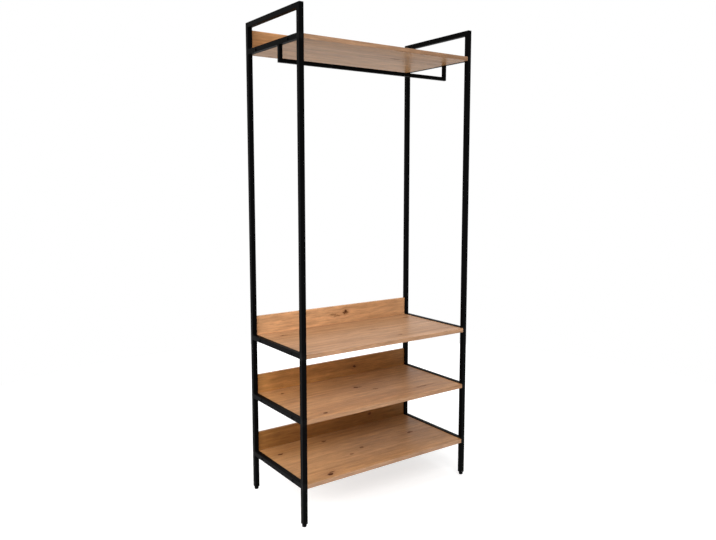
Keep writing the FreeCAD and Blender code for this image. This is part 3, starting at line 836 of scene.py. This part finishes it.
screw_sets = []
for shelf in SHELVES:
    low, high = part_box(shelf + "_shelf_upstand_screws")
    first = low[0] + PLAIN_HEAD_RADIUS
    step = (high[0] - low[0] - 2 * PLAIN_HEAD_RADIUS) / (SCREWS_PER_SHELF - 1)
    level = (low[2] + high[2]) / 2
    places = []
    for number in range(SCREWS_PER_SHELF):
        spot = (first + number * step, high[1] + SCREW_PROUD, level)
        places.append((spot, (-math.pi / 2, FIRST_TURN + TURN_STEP * number, 0)))
    piece = set_copies(screw, shelf + "_shelf_cross_screws", places, zinc)
    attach(piece, "body")
    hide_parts(shelf + "_shelf_upstand_screws")
    screw_sets.append(piece)
put_away(screw)
print("cross-recess screws in", len(screw_sets), "sets")

# %% [markdown]
# The rails are welded to the uprights. Outside, the welds are ground flush, but inner corners keep a bead.
# A bead is a short rod of small frozen ripples, half sunk in the corner, under the same black coat.
# It is drawn out of a small disc step by step, and every second step is a little narrower.

# %% Model the weld bead
BEAD_RADIUS = 2.0 * MM
BEAD_LENGTH = 14.5 * MM
BEAD_RIPPLES = 9
BEAD_SIDES = 10
BEAD_CREASE = 80
# Shares of the radius at a bead's ends and between its ripples
BEAD_END = 0.6
BEAD_WAIST = 0.86


def model_bead(length, radius, ripples):
    step = length / (2 * ripples + 2)
    bpy.ops.object.select_all(action="DESELECT")
    start = (0, 0, -length / 2)
    bpy.ops.mesh.primitive_circle_add(
        vertices=BEAD_SIDES, radius=BEAD_END * radius, fill_type="NGON", location=start
    )
    bpy.ops.object.transform_apply(location=True)
    bead = bpy.context.object
    choose_faces(bead, lambda middle, normal: True)
    draw_out(step, 1 / BEAD_END)
    for ripple in range(ripples):
        draw_out(step, BEAD_WAIST)
        draw_out(step, 1 / BEAD_WAIST)
    draw_out(step, BEAD_END)
    finish_blank(bead, BEAD_CREASE)
    return bead


bead = model_bead(BEAD_LENGTH, BEAD_RADIUS, BEAD_RIPPLES)
print("weld bead", round(BEAD_LENGTH / MM, 1), "mm long with", BEAD_RIPPLES, "ripples")

# %% [markdown]
# A side rail has an inner corner above and below at each end, and the top rail only below.
# Each side frame's beads become one piece, which stays on the frame.

# %% Set the beads of the side frames
# How far a bead's middle stands out of its corner
BEAD_OUT = 0.35 * MM


def corner_places(rail, ends, tops):
    """Bead places along X in the corners between a rail that runs along Y and the uprights at its ends."""
    low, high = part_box(rail)
    middle_x = (low[0] + high[0]) / 2
    found = []
    for end in ends:
        y = (low[1] if end < 0 else high[1]) - end * BEAD_OUT
        for top in tops:
            z = (high[2] if top > 0 else low[2]) + top * BEAD_OUT
            found.append(((middle_x, y, z), (0, math.pi / 2, 0)))
    return found


bead_counts = []
for side in ("left", "right"):
    places = []
    for shelf in SHELVES:
        places += corner_places(side + "_" + shelf + "_rail", (-1, 1), (-1, 1))
    low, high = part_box(side + "_top_rail")
    tube = high[2] - low[2]
    for end in (-1, 1):
        y = end * (high[1] - tube - BEAD_OUT)
        places.append((((low[0] + high[0]) / 2, y, low[2] - BEAD_OUT), (0, math.pi / 2, 0)))
    piece = set_copies(bead, side + "_frame_weld_beads", places, coat)
    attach(piece, "body")
    bead_counts.append(len(places))
put_away(bead)
print("weld beads on the side frames:", sum(bead_counts))

# %% [markdown]
# The clothes bar is a thinner tube, so its two beads are shorter and have fewer ripples.
# They lie along Y in the corners between the bar and its drops.

# %% Set the beads of the clothes bar
# Share of the bar's width that a bead takes up
BAR_BEAD_SHARE = 0.76
BAR_BEAD_RADIUS = 0.8 * BEAD_RADIUS
BAR_BEAD_RIPPLES = 7
BAR_BEAD_OUT = 0.3 * MM

low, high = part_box("clothes_bar")
bar_width = high[1] - low[1]
drop_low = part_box("right_clothes_bar_drop")[0]
bar_bead = model_bead(BAR_BEAD_SHARE * bar_width, BAR_BEAD_RADIUS, BAR_BEAD_RIPPLES)
places = []
for side in (-1, 1):
    x = side * (drop_low[0] - BAR_BEAD_OUT)
    places.append(((x, (low[1] + high[1]) / 2, high[2] + BAR_BEAD_OUT), (math.pi / 2, 0, 0)))
piece = set_copies(bar_bead, "clothes_bar_weld_beads", places, coat)
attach(piece, "body")
put_away(bar_bead)
print("weld beads on the clothes bar:", len(places))

# %% [markdown]
# Each foot is a turned black pad with a rounded sole, moulded round a threaded steel stud.
# The pad is a disc whose two rims are bevelled and whose top is inset and sunk for the stud.

# %% Model the foot pad
PAD_SOLE_ROUND = 1.6 * MM
PAD_TOP_BEVEL = 0.7 * MM
PAD_SIDES = 48
PAD_CREASE = 30
SOLE_STEPS = 5
STUD_RADIUS = 4.0 * MM
STUD_PLAY = 0.05 * MM

low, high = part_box("left_front_foot_pad")
pad_radius = max(high[0] - low[0], high[1] - low[1]) / 2
pad_height = high[2] - low[2]
stud_low, stud_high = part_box("left_front_foot_stud")

pad = turned_disc(pad_radius, 0, pad_height, PAD_SIDES)
choose_edges(pad, lambda spot: spot.z < LEVEL_WITHIN)
bpy.ops.mesh.bevel(offset=PAD_SOLE_ROUND, segments=SOLE_STEPS, affect="EDGES")
choose_edges(pad, lambda spot: spot.z > pad_height - LEVEL_WITHIN)
bpy.ops.mesh.bevel(offset=PAD_TOP_BEVEL, segments=2, affect="EDGES")
choose_faces(pad, lambda middle, normal: normal.z > LOOKS_UP and middle.z > pad_height - LEVEL_WITHIN)
bpy.ops.mesh.inset(thickness=pad_radius - PAD_TOP_BEVEL - STUD_RADIUS - STUD_PLAY)
draw_out(stud_low[2] - high[2])
finish_blank(pad, PAD_CREASE)
print("foot pad", round(2 * pad_radius / MM, 1), "mm wide and", round(pad_height / MM, 1), "mm high")

# %% [markdown]
# The stud is a plain rod with a thread, which shows when a foot is screwed out.
# The thread is a small triangle wound round the rod by the Screw modifier, one pitch higher at each turn.
# The two ends of the winding are open triangles, which Fill Holes closes.

# %% Model the stud
STUD_CORE = 3.35 * MM
STUD_TIP_BEVEL = 0.8 * MM
STUD_CREASE = 25
THREAD_PITCH = 1.25 * MM
THREAD_SIZE = 0.56 * MM
THREAD_STEPS = 24
# At least this many pitches of the stud, both ends together, stay without a thread
BARE_PITCHES = 2.5

stud_length = stud_high[2] - stud_low[2]
thread_turns = int((stud_length - BARE_PITCHES * THREAD_PITCH) / THREAD_PITCH)
bpy.ops.object.select_all(action="DESELECT")
thread_start = (STUD_CORE, 0, THREAD_PITCH)
outwards = (math.pi / 2, math.pi / 2, 0)
bpy.ops.mesh.primitive_circle_add(vertices=3, radius=THREAD_SIZE, location=thread_start, rotation=outwards)
bpy.ops.object.transform_apply(location=True, rotation=True)
stud = bpy.context.object
winding = stud.modifiers.new("winding", "SCREW")
winding.axis = "Z"
winding.angle = 2 * math.pi
winding.screw_offset = THREAD_PITCH
winding.iterations = thread_turns
winding.steps = THREAD_STEPS
winding.render_steps = THREAD_STEPS
bpy.ops.object.modifier_apply(modifier="winding")
bpy.ops.object.mode_set(mode="EDIT")
bpy.ops.mesh.select_all(action="SELECT")
bpy.ops.mesh.fill_holes(sides=3)
half_way = (0, 0, stud_length / 2)
bpy.ops.mesh.primitive_cylinder_add(
    vertices=THREAD_STEPS, radius=STUD_CORE, depth=stud_length, location=half_way
)
choose_edges(stud, lambda spot: spot.z > stud_length - LEVEL_WITHIN)
bpy.ops.mesh.bevel(offset=STUD_TIP_BEVEL, segments=1, affect="EDGES")
finish_blank(stud, STUD_CREASE)
print("stud", round(stud_length / MM, 1), "mm long with", thread_turns, "turns of thread")

# %% [markdown]
# The wardrobe stands on four such feet, and each pad and stud rides with its own foot when that is screwed.
# Their places come from the plain pads and studs of the CAD model, which they replace.

# %% Set the feet
feet = []
for side in ("left", "right"):
    for end in ("front", "rear"):
        foot = side + "_" + end + "_foot"
        low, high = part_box(foot + "_pad")
        x = (low[0] + high[0]) / 2
        y = (low[1] + high[1]) / 2
        piece = set_copies(pad, foot + "_turned_pad", [((x, y, low[2]), (0, 0, 0))], plastic)
        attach(piece, foot)
        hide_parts(foot + "_pad")
        piece = set_copies(stud, foot + "_threaded_stud", [((x, y, stud_low[2]), (0, 0, 0))], zinc)
        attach(piece, foot)
        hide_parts(foot + "_stud")
        feet.append(foot)
put_away(pad)
put_away(stud)
print("levelling feet:", len(feet))
